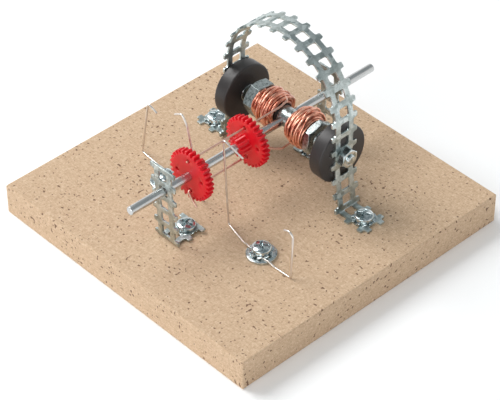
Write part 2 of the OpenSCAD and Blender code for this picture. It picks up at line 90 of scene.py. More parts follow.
board_low, board_high = box("base_board")
BOARD_TOP = board_high[2]
AXLE_Z = frame["joints"][0]["pos_m"][2] / MM
AXLE_H = AXLE_Z - BOARD_TOP
axle_low, axle_high = box("axle")
AXLE_D = axle_high[0] - axle_low[0]

PITCH = 5.0
HOLE = 3.3
STRAP_W = 9.7
STRAP_T = 0.6
BEND_R = 0.8
ARCH_R = 22.0
ARCH_X, ARCH_Y = 0.85, 14.2
ARCH_PITCHES = 18
LEG_TOP = AXLE_H + (ARCH_PITCHES * PITCH - math.pi * ARCH_R) / 2

REST_TURN = math.radians(2)
CORE_Y = 14.7
COPPER_D = 0.65


# ---- surfaces ----------------------------------------------------------------------------------

def unit(v):
    """v divided by its length, along the last axis."""
    return v / np.linalg.norm(v, axis=-1, keepdims=True)


def put(points, at, z=Z, x=X):
    """Points of a local frame, moved so that its origin is `at` and its Z and X axes point along z and x."""
    z, x = np.asarray(z, float), np.asarray(x, float)
    y = np.cross(z, x)
    return np.asarray(at) + points[..., :1] * x + points[..., 1:2] * y + points[..., 2:] * z


def on_rotor(points):
    """Points of the rotor's frame, axle along Y and core along X, turned to rest and lifted to the axle."""
    c, s = math.cos(REST_TURN), math.sin(REST_TURN)
    x, y, z = np.moveaxis(points, -1, 0)
    return np.stack([c * x + s * z, y, c * z - s * x + AXLE_Z], -1)


def rounded(points, r, steps=6):
    """A line of points with each inner corner p replaced by the curve (1-t)^2 a + 2 t (1-t) p + t^2 b.

    a and b lie r from the corner along its two sides, or halfway where a side is short.
    """
    p = np.asarray(points, float)
    corner = p[1:-1]
    sides = [q - corner for q in (p[:-2], p[2:])]
    a, b = [corner + np.minimum(r, np.linalg.norm(v, axis=1, keepdims=True) / 2) * unit(v) for v in sides]
    t = np.linspace(0, 1, steps + 1)[:, None]
    curve = (1 - t) ** 2 * a[:, None] + 2 * t * (1 - t) * corner[:, None] + t * t * b[:, None]
    line = np.concatenate([p[:1], curve.reshape(-1, p.shape[1]), p[-1:]])
    apart = np.linalg.norm(np.diff(line, axis=0), axis=1) > 1e-6
    return np.concatenate([line[:1], line[1:][apart]])


def spaced(line, step):
    """The line with points added so that none is further than about `step` from the next."""
    along = np.concatenate([[0], np.cumsum(np.linalg.norm(np.diff(line, axis=0), axis=1))])
    even = np.linspace(0, along[-1], int(along[-1] / step) + 1)
    all_along = np.unique(np.round(np.concatenate([along, even]), 3))
    return np.stack([np.interp(all_along, along, c) for c in line.T], -1)


def track(s, start, heading, steps):
    """Points and headings at the distances s along a plane path of straight and round steps.

    A step is (length, turn): its heading turns evenly, so after u of it the point has moved by the chord
    u sin(h) / h towards the heading halfway, where h is half the turn so far.
    """
    left = np.asarray(s, float)
    point = np.zeros(left.shape + (2,)) + start
    angle = np.full(left.shape, float(heading))
    for length, turn in steps:
        u = np.clip(left, 0, length)
        half = turn * u / length / 2
        chord = u * np.sinc(half / math.pi)
        point = point + chord[..., None] * np.stack([np.cos(angle + half), np.sin(angle + half)], -1)
        angle = angle + 2 * half
        left = left - length
    return point, angle


def lathe(profile, columns=64):
    """Surface of revolution about Z: each (radius, height) of the profile at every angle of a full turn."""
    r, z = np.asarray(profile, float).T[..., None]
    a = np.linspace(0, TAU, columns + 1)
    return np.stack([r * np.cos(a), r * np.sin(a), z + 0 * a], -1)


def tube(line, d, side, sides=12):
    """Rings of diameter d square to a line, with ends cut flat and a small chamfer on them.

    A ring's first spoke is the vector `side` less its part along the line.
    """
    step = unit(np.diff(line, axis=0))
    t = unit(np.concatenate([step[:1], step[:-1] + step[1:], step[-1:]]))
    chamfer = d * 0.12
    r = np.concatenate([[0, d / 2 - chamfer], np.full(len(line), d / 2), [d / 2 - chamfer, 0]])
    middle = line.copy()
    middle[0] += chamfer * t[0]
    middle[-1] -= chamfer * t[-1]
    middle = np.concatenate([line[:1], line[:1], middle, line[-1:], line[-1:]])
    t = np.concatenate([t[:1], t[:1], t, t[-1:], t[-1:]])
    u = unit(side - (t @ side)[:, None] * t)
    v = np.cross(t, u)
    a = np.linspace(0, TAU, sides + 1)[None, :, None]
    return middle[:, None] + r[:, None, None] * (np.cos(a) * u[:, None] + np.sin(a) * v[:, None])


# ---- meshes ------------------------------------------------------------------------------------

def mesh_of(name, grids):
    """One mesh of several grids: a quad between each four neighbours, doubles merged, faces outwards."""
    first, points, faces = 0, [], []
    for grid in grids:
        i = first + np.arange(grid.shape[0] * grid.shape[1]).reshape(grid.shape[:2])
        faces.append(np.stack([i[:-1, :-1], i[1:, :-1], i[1:, 1:], i[:-1, 1:]], -1).reshape(-1, 4))
        points.append(grid.reshape(-1, 3))
        first += i.size
    mesh = bpy.data.meshes.new(name)
    mesh.from_pydata(np.concatenate(points) * MM, [], np.concatenate(faces).tolist())
    work = bmesh.new()
    work.from_mesh(mesh)
    bmesh.ops.remove_doubles(work, verts=work.verts, dist=0.002 * MM)
    bmesh.ops.recalc_face_normals(work, faces=work.faces)
    work.to_mesh(mesh)
    work.free()
    return mesh


def solid(name, grids, body, nodes, finish, sheet=0, bevel=0, sharp=35):
    """A piece from grids of points, or from a mesh.

    `sheet` gives an open surface its thickness, and `bevel` rounds edges sharper than `sharp` degrees by that
    many millimetres.
    """
    mesh = grids if isinstance(grids, bpy.types.Mesh) else mesh_of(name, grids)
    mesh.shade_smooth()
    piece = bpy.data.objects.new(name, mesh)
    bpy.context.scene.collection.objects.link(piece)
    if sheet:
        shell = piece.modifiers.new("thickness", "SOLIDIFY")
        shell.thickness = sheet * MM
        shell.offset = 0
        shell.use_even_offset = True
    if bevel:
        edges = piece.modifiers.new("edges", "BEVEL")
        edges.width = bevel * MM
        edges.segments = 2
        edges.limit_method = "ANGLE"
        edges.angle_limit = math.radians(sharp)
        edges.use_clamp_overlap = True
        normals = piece.modifiers.new("normals", "WEIGHTED_NORMAL")
        normals.keep_sharp = True
    else:
        mesh.set_sharp_from_angle(angle=math.radians(sharp))
    mesh.materials.append(finish)
    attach(piece, body)
    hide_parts(*nodes)
    return piece


# ---- materials ---------------------------------------------------------------------------------

def operator(operation):
    """A Python operator and its reflected form that add a Math node."""
    def plain(self, other):
        return self.node("ShaderNodeMath", {"operation": operation}, {0: self, 1: other})

    def reflected(self, other):
        return self.node("ShaderNodeMath", {"operation": operation}, {0: other, 1: self})

    return plain, reflected


def fill(entry, value):
    """Links a socket to a node's entry, or sets the entry to a number, a vector or a colour."""
    if isinstance(value, Socket):
        value.tree.links.new(value.socket, entry)
    else:
        entry.default_value = (*value, 1) if entry.type == "RGBA" else value


class Socket:
    """A socket in a material. Its operators add Math nodes, so 1 - mask is a node."""

    def __init__(self, tree, socket):
        self.tree, self.socket = tree, socket

    __add__, __radd__ = operator("ADD")
    __sub__, __rsub__ = operator("SUBTRACT")
    __mul__, __rmul__ = operator("MULTIPLY")

    def node(self, kind, settings, values, output=0):
        """A node of a type with its settings, then the values or links of its sockets. Gives one output."""
        new = self.tree.nodes.new(kind)
        for key, value in settings.items():
            if key == "stops":
                ramp = new.color_ramp.elements
                while len(ramp) < len(value):
                    ramp.new(0.5)
                for stop, (place, color) in zip(ramp, value):
                    stop.position = place
                    stop.color = (*color, 1)
            else:
                setattr(new, key, value)
        for key, value in values.items():
            fill(new.inputs[key], value)
        return Socket(self.tree, new.outputs[output])

    def stretched(self, *scale):
        """This vector with each part multiplied."""
        return self.node("ShaderNodeVectorMath", {"operation": "MULTIPLY"}, {0: self, 1: scale})

    def noise(self, size, detail=2, roughness=0.5, distortion=0):
        """Noise from 0 to 1 with lumps of a size in millimetres."""
        values = {"Vector": self, "Scale": 1 / (size * MM), "Detail": detail, "Roughness": roughness,
                  "Distortion": distortion}
        return self.node("ShaderNodeTexNoise", {}, values, "Fac")

    def cells(self, size):
        """Cells of a size in millimetres, each with a random value from 0 to 1."""
        color = self.node("ShaderNodeTexVoronoi", {}, {"Vector": self, "Scale": 1 / (size * MM)}, "Color")
        return self.node("ShaderNodeSeparateColor", {}, {0: color})

    def between(self, low, high):
        """0 below low, 1 above high and smooth in between."""
        values = {"Value": self, "From Min": low, "From Max": high}
        return self.node("ShaderNodeMapRange", {"interpolation_type": "SMOOTHSTEP"}, values)

    def ramp(self, *stops):
        """A colour ramp on this value."""
        return self.node("ShaderNodeValToRGB", {"stops": stops}, {0: self})

    def mix(self, a, b):
        """Colour a where this is 0 and b where it is 1."""
        return self.node("ShaderNodeMix", {"data_type": "RGBA"}, {0: self, 6: a, 7: b}, 2)


def finish(name, paint):
    """A material.

    paint(place) gets the object's coordinates and returns the values of the shader's sockets and, as "bump",
    a height in millimetres.
    """
    material = bpy.data.materials.new(name)
    material.use_nodes = True
    tree = material.node_tree
    shader = tree.nodes["Principled BSDF"]
    place = Socket(tree, tree.nodes.new("ShaderNodeTexCoord").outputs["Object"])
    values = paint(place)
    height = values.pop("bump", None)
    if height is not None:
        relief = {"Height": height, "Distance": MM, "Strength": 1.0}
        values["Normal"] = place.node("ShaderNodeBump", {}, relief)
    for key, value in values.items():
        fill(shader.inputs[key], value)
    return material


def hardboard(place):
    """Pressed wood fibre: short pale and brown fibres, dark specks, and a soft cloudy tone."""
    cloud = place.noise(14, 3)
    fibres = place.noise(0.8, 4, 0.7, 1.5)
    across = place.stretched(1, 0.3, 1).noise(0.4, 3, 0.6, 0.6)
    along = place.stretched(0.3, 1, 1).noise(0.45, 3, 0.6, 0.6)
    tone = fibres * 0.4 + across * 0.3 + along * 0.3
    base = tone.ramp((0.36, (0.42, 0.27, 0.165)), (0.5, (0.60, 0.425, 0.278)), (0.64, (0.77, 0.60, 0.425)))
    base = (cloud * 0.3).mix(base, (0.57, 0.395, 0.26))
    specks = (place.noise(0.9, 0) * 0.75 + place.noise(7) * 0.25).between(0.68, 0.72)
    base = specks.mix(base, (0.20, 0.115, 0.07))
    return {"Base Color": base, "Roughness": 0.82 - fibres * 0.15, "Specular IOR Level": 0.3,
            "bump": tone * 0.12 - specks * 0.05}


def galvanised(place):
    """Zinc-coated sheet: crystals with slightly different gloss, a fine grain and dull patches."""
    spangle = place.cells(1.3)
    dull = place.noise(4, 3).between(0.45, 0.68)
    fine = place.noise(0.35, 3)
    tone = spangle * 0.45 + fine * 0.55
    base = tone.ramp((0.25, (0.36, 0.42, 0.41)), (0.75, (0.70, 0.76, 0.75)))
    base = (dull * 0.6).mix(base, (0.25, 0.28, 0.26))
    return {"Base Color": base, "Metallic": 1.0, "Roughness": 0.28 + spangle * 0.14 + dull * 0.14,
            "bump": fine * 0.016 + dull * 0.006}


def bright_zinc(place):
    """Bright zinc plate, a little blue, with faint blotches."""
    blotch = place.noise(1.2, 3)
    base = blotch.ramp((0.35, (0.34, 0.41, 0.42)), (0.65, (0.80, 0.85, 0.86)))
    return {"Base Color": base, "Metallic": 1.0, "Roughness": 0.14 + blotch * 0.16,
            "bump": place.noise(0.3, 2) * 0.012}


def ferrite(place):
    """Sintered magnet: dark, fine-grained, a little shiny, with small pits."""
    grain = place.noise(0.35, 4, 0.6)
    cloud = place.noise(5, 2)
    base = (grain * 0.6 + cloud * 0.4).mix((0.014, 0.012, 0.012), (0.040, 0.034, 0.033))
    pits = place.noise(0.8, 2).between(0.70, 0.78)
    return {"Base Color": base, "Roughness": 0.34 + grain * 0.16, "bump": grain * 0.016 - pits * 0.05}


def drawn_steel(place):
    """Bright drawn rod: fine lines along the axle and faint stains."""
    lines = place.stretched(1, 0.02, 1).noise(0.2, 2)
    stain = place.stretched(1, 0.5, 1).noise(3, 3)
    base = stain.mix((0.50, 0.51, 0.51), (0.72, 0.72, 0.71))
    return {"Base Color": base, "Metallic": 1.0, "Roughness": 0.20 + lines * 0.10, "bump": lines * 0.002}


def plated_steel(place):
    """Zinc-plated bolt steel, satin, mottled with dark blotches."""
    mottle = place.noise(0.7, 4, 0.6)
    base = mottle.ramp((0.36, (0.22, 0.26, 0.25)), (0.62, (0.60, 0.65, 0.65)))
    return {"Base Color": base, "Metallic": 1.0, "Roughness": 0.22 + mottle * 0.14, "bump": mottle * 0.02}


def red_plastic(place):
    """Moulded plastic, saturated red, with a faint flow pattern."""
    flow = place.noise(2.5, 2)
    base = flow.mix((0.60, 0.003, 0.011), (0.80, 0.009, 0.020))
    return {"Base Color": base, "Roughness": 0.30 + flow * 0.1, "Subsurface Weight": 0.05,
            "Subsurface Radius": (0.0010, 0.0002, 0.0002), "Subsurface Scale": 1.0, "IOR": 1.49,
            "bump": place.noise(0.4, 2) * 0.02}


def enamelled_copper(place):
    """Copper wire under clear enamel, its tone changing slowly from turn to turn."""
    tone = place.noise(1.4, 3)
    base = tone.ramp((0.3, (0.52, 0.15, 0.09)), (0.52, (0.90, 0.40, 0.27)), (0.72, (1.0, 0.68, 0.52)))
    return {"Base Color": base, "Metallic": 0.9, "Roughness": 0.24 + tone * 0.12, "Coat Weight": 0.6,
            "Coat Roughness": 0.12, "bump": place.noise(0.25, 2) * 0.008}


def bare_copper(place):
    """Scraped copper wire of the commutator, brighter and duller in patches."""
    tone = place.noise(1.2, 3)
    base = tone.mix((0.62, 0.33, 0.24), (0.92, 0.66, 0.55))
    return {"Base Color": base, "Metallic": 1.0, "Roughness": 0.28 + tone * 0.2,
            "bump": place.noise(0.15, 2) * 0.006}


def dark_tape(place):
    """Black insulating tape, dull, with a fine weave."""
    weave = place.noise(0.2, 2)
    base = weave.mix((0.012, 0.010, 0.010), (0.035, 0.030, 0.028))
    return {"Base Color": base, "Roughness": 0.55 + weave * 0.2, "bump": weave * 0.02}


def spring_wire(place):
    """Bright spring steel wire, warm where it is bare."""
    tone = place.noise(2.2, 3)
    base = tone.mix((0.66, 0.60, 0.55), (0.94, 0.90, 0.85))
    return {"Base Color": base, "Metallic": 1.0, "Roughness": 0.24 + tone * 0.14,
            "bump": place.noise(0.2, 2) * 0.004}


# ---- board -------------------------------------------------------------------------------------

BOARD_ROUND, BOARD_STEP = 0.45, 2.5


def rounded_box(low, high, r, step):
    """Six grids over a box with rounded edges.

    A point of the flat box is pulled in to its nearest point of a box r smaller, and set r away from that
    towards where it was.
    """
    middle, half = (low + high) / 2, (high - low) / 2
    near_edge = np.array([0, 0.15, 0.35, 0.6, 1]) * r * 1.5

    def positions(h):
        inner = np.linspace(-h + 1.5 * r, h - 1.5 * r, max(2, int(2 * h / step)))
        return np.unique(np.concatenate([-h + near_edge, inner, h - near_edge]))

    grids = []
    for axis in range(3):
        u, v = np.meshgrid(positions(half[axis - 2]), positions(half[axis - 1]), indexing="ij")
        for side in (-1, 1):
            q = np.empty(u.shape + (3,))
            q[..., axis - 2], q[..., axis - 1], q[..., axis] = u, v, side * half[axis]
            inner = np.clip(q, r - half, half - r)
            grids.append(middle + inner + r * unit(q - inner))
    return grids


def make_board(wood):
    """The square board with rounded arrises."""
    grids = rounded_box(board_low, board_high, BOARD_ROUND, BOARD_STEP)
    solid("board", grids, "stand", ["base_board"], wood)


# ---- perforated strap --------------------------------------------------------------------------

HOLE_ROUND = 0.55
TAB_ROUND = 0.3


def strap_cell(n=10):
    """The flat sheet of one pitch as grids of (along, across) points, round a square hole with round corners.

    Four grids lead from the hole's sides out to a square of one pitch. Two more lead from that square to the
    strap's edges, where half a hole is cut away and a tab is left on each side of it.
    """
    a, h = PITCH / 2, HOLE / 2
    flat = h - HOLE_ROUND
    s = np.linspace(0, flat + HOLE_ROUND * math.pi / 4, n + 1)
    rim, _ = track(s, (0, h), 0, [(flat, 0), (HOLE_ROUND * math.pi / 2, -math.pi / 2)])
    frame_edge = np.stack([np.linspace(0, a, n + 1), np.full(n + 1, a)], -1)
    f = np.linspace(0, 1, 5)[:, None, None]
    quarter = (1 - f) * rim + f * frame_edge
    quarter = np.concatenate([quarter[:, :0:-1] * (-1, 1), quarter], 1)
    grids = [quarter, quarter[..., ::-1], quarter * (1, -1), quarter[..., ::-1] * (-1, 1)]

    notch = PITCH - h
    rise = STRAP_W / 2 - notch - HOLE_ROUND - TAB_ROUND
    steps = [(flat, 0), (HOLE_ROUND * math.pi / 2, math.pi / 2), (rise, 0),
             (TAB_ROUND * math.pi / 2, -math.pi / 2), (a - h - TAB_ROUND, 0)]
    edge, _ = track(np.linspace(0, sum(length for length, _ in steps), n + 1), (0, notch), 0, steps)
    f = np.linspace(0, 1, 4)[:, None, None]
    side = (1 - f) * frame_edge + f * edge
    side = np.concatenate([side[:, :0:-1] * (-1, 1), side], 1)
    return grids + [side, side * (1, -1)]


def strap_mesh(name, low, high, place):
    """A strap from `low` to `high` along its length, with a square hole at every whole pitch.

    place() bends it: it gets arrays of the distance along the strap and across it and returns points.
    """
    cells = []
    for k in range(math.floor(low / PITCH + 0.5), math.ceil(high / PITCH - 0.5) + 1):
        cells += [np.concatenate([cell + (k * PITCH, 0), 0 * cell[..., :1]], -1) for cell in strap_cell()]
    mesh = mesh_of(name, cells)
    work = bmesh.new()
    work.from_mesh(mesh)
    for at, side in ((low, -1), (high, 1)):
        bmesh.ops.bisect_plane(work, geom=work.verts[:] + work.edges[:] + work.faces[:], clear_outer=True,
                               plane_co=(at * MM, 0, 0), plane_no=(side, 0, 0))
    work.to_mesh(mesh)
    work.free()
    flat = np.empty(len(mesh.vertices) * 3)
    mesh.vertices.foreach_get("co", flat)
    along, across, _ = flat.reshape(-1, 3).T / MM
    mesh.vertices.foreach_set("co", (place(along, across) * MM).ravel())
    mesh.update()
    return mesh


FLARE = math.radians(8.5)
FLARE_TOP = 15.0
KINK_R = 4.0
ARCH_SCREW, ARCH_END = 8.9, 4.8
FRONT_STRAP_Y, REAR_STRAP_Y, FRONT_LEAN = 31.9, 31.6, math.radians(2.3)
BEARING_SCREW, BEARING_END = 7.0, 3.0
LONG_FOOT = 4 * PITCH


def arch_place(along, across):
    """The arch, seen from the front: half a circle from its top, a leg that flares out, a bend and a foot."""
    kink = KINK_R * math.tan(FLARE / 2)
    bend = math.pi / 2 - FLARE
    tangent = BEND_R * math.tan(bend / 2)
    slope = (FLARE_TOP - STRAP_T / 2) / math.cos(FLARE)
    steps = [(ARCH_R * math.pi / 2, -math.pi / 2), (LEG_TOP - FLARE_TOP - kink, 0), (KINK_R * FLARE, FLARE),
             (slope - kink - tangent, 0), (BEND_R * bend, bend), (LONG_FOOT, 0)]
    point, _ = track(np.abs(along), (0, LEG_TOP + ARCH_R), 0, steps)
    x = ARCH_X + np.sign(along) * point[..., 0]
    return np.stack([x, ARCH_Y + across, BOARD_TOP + point[..., 1]], -1)


def arch_reach():
    """Length of strap from the arch's top to the end of a foot."""
    far = np.linspace(60, 75, 301)
    x = arch_place(far, 0 * far)[:, 0] - ARCH_X
    return float(np.interp(ARCH_R + ARCH_SCREW + ARCH_END, x, far))


def bearing_place(y, towards, lean):
    """A bearing strap: down from its upper end to the bend and along the foot, with the axle's hole at 0."""
    bend = math.pi / 2 + lean
    tangent = BEND_R * math.tan(bend / 2)
    above = 2 * PITCH
    down = (AXLE_H - STRAP_T / 2) / math.cos(lean) - tangent
    start = (-math.sin(lean) * (AXLE_H / math.cos(lean) + above), AXLE_H + above * math.cos(lean))
    steps = [(down + above, 0), (BEND_R * bend, bend), (LONG_FOOT, 0)]

    def place(along, across):
        point, _ = track(np.asarray(along, float) + above, start, lean - math.pi / 2, steps)
        return np.stack([across, y + towards * point[..., 0], BOARD_TOP + point[..., 1]], -1)

    return place


def make_straps(zinc_sheet):
    """The arch and the two bearing straps. A bearing's foot ends where it is long enough for its screw."""
    reach = arch_reach()
    straps = [("arch", "arch_strap", -reach, reach, arch_place)]
    up = box("front_bearing_strap")[1][2] - AXLE_Z
    far = np.linspace(AXLE_H, AXLE_H + LONG_FOOT, 401)
    for end, y, towards, lean in (("front", -FRONT_STRAP_Y, 1, FRONT_LEAN), ("rear", REAR_STRAP_Y, -1, 0.0)):
        place = bearing_place(y, towards, lean)
        out = towards * (place(far, 0 * far)[:, 1] - y)
        foot_end = float(np.interp(BEARING_SCREW + BEARING_END, out, far))
        straps.append((end + "_strap", end + "_bearing_strap", -up, foot_end, place))
    for name, node, low, high, place in straps:
        mesh = strap_mesh(name, low, high, place)
        solid(name, mesh, "stand", [node], zinc_sheet, sheet=STRAP_T, bevel=0.07)


# ---- screws and washers --------------------------------------------------------------------------

SCREW_HEAD_D, SCREW_HEAD_H, SCREW_D, SCREW_DEPTH, SCREW_POINT = 5.7, 1.7, 3.0, 7.5, 1.5
RECESS_LEN, RECESS_W, RECESS_WALL, RECESS_DEPTH, RECESS_RISE = 4.0, 0.95, 3.5, 1.5, 0.45
FOOT_SPOTS = [(ARCH_X - ARCH_R - ARCH_SCREW, ARCH_Y), (ARCH_X + ARCH_R + ARCH_SCREW, ARCH_Y)]
BEARING_SPOTS = [(0, -FRONT_STRAP_Y + BEARING_SCREW), (0, REAR_STRAP_Y - BEARING_SCREW)]
RIGHT_BRUSH_SPOT = np.array([22.3, -16.8, 0])
LEFT_BRUSH_SPOT = np.array([-19.4, -15.5, 0])
BRUSH_SPOTS = [tuple(RIGHT_BRUSH_SPOT[:2]), tuple(LEFT_BRUSH_SPOT[:2])]
LOCK_T, TOOTH_T, PLAIN_T, PLAIN_D, BRUSH_D = 0.5, 0.32, 0.8, 9.0, 0.6


def wood_screw(grip):
    """Pan head above z = 0 on a shank with a point.

    The head is a flattened dome on a short upright rim, less a cross recess. The recess's depth is
    RECESS_WALL times the distance in from the cross's outline, down to a floor that falls towards the middle.
    """
    r, shank_r, rim, edge = SCREW_HEAD_D / 2, SCREW_D / 2, SCREW_HEAD_H * 0.4, 0.12
    lift = np.linspace(0, math.pi / 2, 40)[:, None]
    a = np.linspace(0, TAU, 129)
    radius = r * np.sin(lift)
    x, y = radius * np.cos(a), radius * np.sin(a)
    inside = [np.minimum(RECESS_LEN / 2 - np.abs(p), RECESS_W / 2 - np.abs(q)) for p, q in ((x, y), (y, x))]
    floor = RECESS_DEPTH - RECESS_RISE * radius
    recess = np.clip(np.minimum(RECESS_WALL * np.maximum(*inside), floor), 0, None)
    top = np.stack([x, y, rim + (SCREW_HEAD_H - rim) * np.cos(lift) ** 0.7 - recess], -1)
    tip = -grip - SCREW_DEPTH
    below = [(r, rim), (r, edge), (r - edge, 0), (shank_r, 0), (shank_r, tip + SCREW_POINT), (0, tip)]
    return [top, lathe(below, 128)]


def toothed_washer(teeth=10, columns=10):
    """A sheet ring with outer teeth.

    Along a tooth the sheet twists: its height is the angle from the tooth's middle times the distance out
    from the ring, times a twist.
    """
    inner, root, tip, twist, share = 1.65, 2.5, 3.6, 1.1, 6
    a = np.linspace(0, TAU, teeth * columns + 1)
    ring_r = np.array([inner, (inner + root) / 2, root])[:, None]
    ring = np.stack([ring_r * np.cos(a), ring_r * np.sin(a), 0 * ring_r + 0 * a], -1)
    r = np.linspace(root, tip, 5)[:, None]
    grids = [ring]
    for k in range(teeth):
        part = a[k * columns:k * columns + share + 1]
        height = twist * (part - part.mean()) * (r - root)
        grids.append(np.stack([r * np.cos(part), r * np.sin(part), height], -1))
    return grids


def plain_washer():
    """A flat ring, stamped, with one edge rounder than the other."""
    inner, outer = SCREW_D / 2 + 0.2, PLAIN_D / 2
    small, middle, large = 0.1, 0.08, 0.25
    return [lathe([(inner, 0), (outer - small, 0), (outer, small), (outer, PLAIN_T - large),
                   (outer - middle, PLAIN_T - middle), (outer - large, PLAIN_T), (inner + small, PLAIN_T),
                   (inner, PLAIN_T - small), (inner, 0)], 96)]


def standing(grids, spots, z, turns):
    """Copies of grids at spots on the board, turned by each of the angles in degrees in turn."""
    placed = []
    for i, (x, y) in enumerate(spots):
        a = math.radians(turns[i % len(turns)])
        placed += [put(grid, (x, y, z), Z, (math.cos(a), math.sin(a), 0)) for grid in grids]
    return placed


def make_screws(zinc):
    """Wood screws with their washers, in the straps' feet and on the brushes."""
    foot_z = BOARD_TOP + STRAP_T
    brush_z = BOARD_TOP + PLAIN_T + BRUSH_D
    foot_screw, clamp_screw = wood_screw(STRAP_T + LOCK_T), wood_screw(PLAIN_T + BRUSH_D + LOCK_T)
    lock, feet = toothed_washer(), FOOT_SPOTS + BEARING_SPOTS
    rows = (
        ("arch_screws", "arch_foot_screws", foot_screw, FOOT_SPOTS, foot_z + LOCK_T, (30,), 0),
        ("bearing_screws", "bearing_foot_screws", foot_screw, BEARING_SPOTS, foot_z + LOCK_T, (15,), 0),
        ("clamp_screws", "brush_screws", clamp_screw, BRUSH_SPOTS, brush_z + LOCK_T, (50,), 0),
        ("foot_washers", "foot_toothed_washers", lock, feet, foot_z + LOCK_T / 2, (5, 20, 12), TOOTH_T),
        ("clamp_toothed_washers", "brush_toothed_washers", lock, BRUSH_SPOTS, brush_z + LOCK_T / 2, (8, 24),
         TOOTH_T),
        ("clamp_plain_washers", "brush_plain_washers", plain_washer(), BRUSH_SPOTS, BOARD_TOP, (0,), 0))
    for name, node, grids, spots, z, turns, sheet in rows:
        placed = standing(grids, spots, z, turns)
        solid(name, placed, "stand", [node], zinc, sheet=sheet, bevel=sheet / 8)


# ---- hexagons ------------------------------------------------------------------------------------

def hexagon(flats, height, bore=0.0, both_ends=False, per_side=12):
    """Hexagon prism from z = 0 up whose corners are turned off by a cone.

    At an angle a from the middle of a flat, the side lies at flats / 2 / cos(a). The cone leaves the end face
    at 0.95 of half the flats and falls by tan 30 degrees times the distance out.
    """
    a = np.linspace(0, TAU, 6 * per_side + 1)
    side = flats / 2 / np.cos((a % (TAU / 6)) - TAU / 12)
    start = 0.95 * flats / 2
    fall = math.tan(math.radians(30))
    cone = [start + (side - start) * f for f in (0, 0.35, 0.7, 1)]
    rows = [(bore + 0 * a, height + 0 * a)] + [(r, height - (r - start) * fall) for r in cone]
    if both_ends:
        rows += [(r, (r - start) * fall) for r in cone[::-1]]
    else:
        rows += [(side, 0 * a), (start + 0 * a, 0 * a)]
    rows += [(bore + 0 * a, 0 * a), (bore + 0 * a, height + 0 * a)] if bore else [(0 * a, 0 * a)]
    return np.stack([np.stack([r * np.cos(a), r * np.sin(a), z], -1) for r, z in rows])


# ---- magnets -------------------------------------------------------------------------------------

MAGNET_D, MAGNET_T, MAGNET_HOLE = 18.0, 4.5, 4.3
MAGNET_FACE = ARCH_R - STRAP_T / 2 - MAGNET_T
MAGNET_NUT_FLATS, MAGNET_NUT_H, MAGNET_NUT_TURN = 5.5, 2.4, math.radians(10)
COUNTERSUNK_R, THREAD_R, HEAD_PROUD, SOCKET_R = 2.75, 1.48, 0.6, 0.5


def make_magnets(black, zinc):
    """Disc magnets inside the legs, with their countersunk screws and nuts."""
    rim, r, bore = 0.5, MAGNET_D / 2, MAGNET_HOLE / 2
    arc = np.linspace(0, math.pi / 2, 7)
    top = [(r - rim + rim * math.sin(t), rim - rim * math.cos(t)) for t in arc]
    profile = [(bore, 0)] + top + [(q, MAGNET_T - w) for q, w in top[::-1]] + [(bore, MAGNET_T), (bore, 0)]
    length = MAGNET_T + STRAP_T + MAGNET_NUT_H + 0.6
    head = [(0, 0.1), (SOCKET_R, 0.1), (SOCKET_R + 0.05, 0.05 - HEAD_PROUD),
            (COUNTERSUNK_R - 0.3, -HEAD_PROUD), (COUNTERSUNK_R - 0.03, 0.1 - HEAD_PROUD),
            (COUNTERSUNK_R, 0.2 - HEAD_PROUD), (THREAD_R, 0.72), (THREAD_R, length - 0.3), (1.2, length),
            (0, length)]
    nut = hexagon(MAGNET_NUT_FLATS, MAGNET_NUT_H, THREAD_R + 0.02, True)
    screws, nuts = [], []
    for name, side in (("left_magnet", -1), ("right_magnet", 1)):
        at = np.array([ARCH_X + side * MAGNET_FACE, ARCH_Y, AXLE_Z])
        solid(name + "_disc", [put(lathe(profile, 128), at, side * X, Y)], "stand", [name], black)
        screws.append(put(lathe(head, 48), at, side * X, Y))
        outside = at + (side * (MAGNET_T + STRAP_T), 0, 0)
        along = (0, side * math.sin(MAGNET_NUT_TURN), math.cos(MAGNET_NUT_TURN))
        nuts.append(put(nut, outside, side * X, along))
    solid("magnet_machine_screws", screws, "stand", ["magnet_screws"], zinc, bevel=0.05)
    solid("magnet_hexagon_nuts", nuts, "stand", ["magnet_nuts"], zinc, bevel=0.08, sharp=28)


# ---- rotor: axle and wheels ------------------------------------------------------------------------

def make_axle(steel):
    """The axle, a drawn rod with rounded ends."""
    r, tip = AXLE_D / 2, 0.4
    low, high = axle_low[1], axle_high[1]
    end = [(r - tip + tip * math.sin(t), tip - tip * math.cos(t)) for t in np.linspace(0, math.pi / 2, 6)]
    profile = [(0, low)] + [(q, low + w) for q, w in end]
    profile += [(q, high - w) for q, w in end[::-1]] + [(0, high)]
    solid("axle_rod", [put(lathe(profile, 48), (0, 0, AXLE_Z), Y, X)], "rotor", ["axle"], steel)


WHEEL_D, WHEEL_TEETH, WHEEL_T = 16.0, 30, 2.3
PINION_D, PINION_TEETH, PINION_LEN = 5.0, 8, 3.6
WHEEL_HOLE_R, WHEEL_HOLE_D, WHEEL_TURN = 5.0, 1.3, 6.0
BAR_ANGLE = 90 + WHEEL_TURN
FRONT_WHEEL_Y, REAR_WHEEL_Y = -23.4, 0.2


def toothed(a, tip_r, depth, teeth):
    """Radius at angle a of an outline whose teeth narrow from root to tip, with rounded corners."""
    from_middle = np.abs((a / TAU * teeth + 0.5) % 1 - 0.5)
    height = np.clip((0.33 - from_middle) / 0.19, 0, 1)
    return tip_r - depth + depth * height * height * (3 - 2 * height)


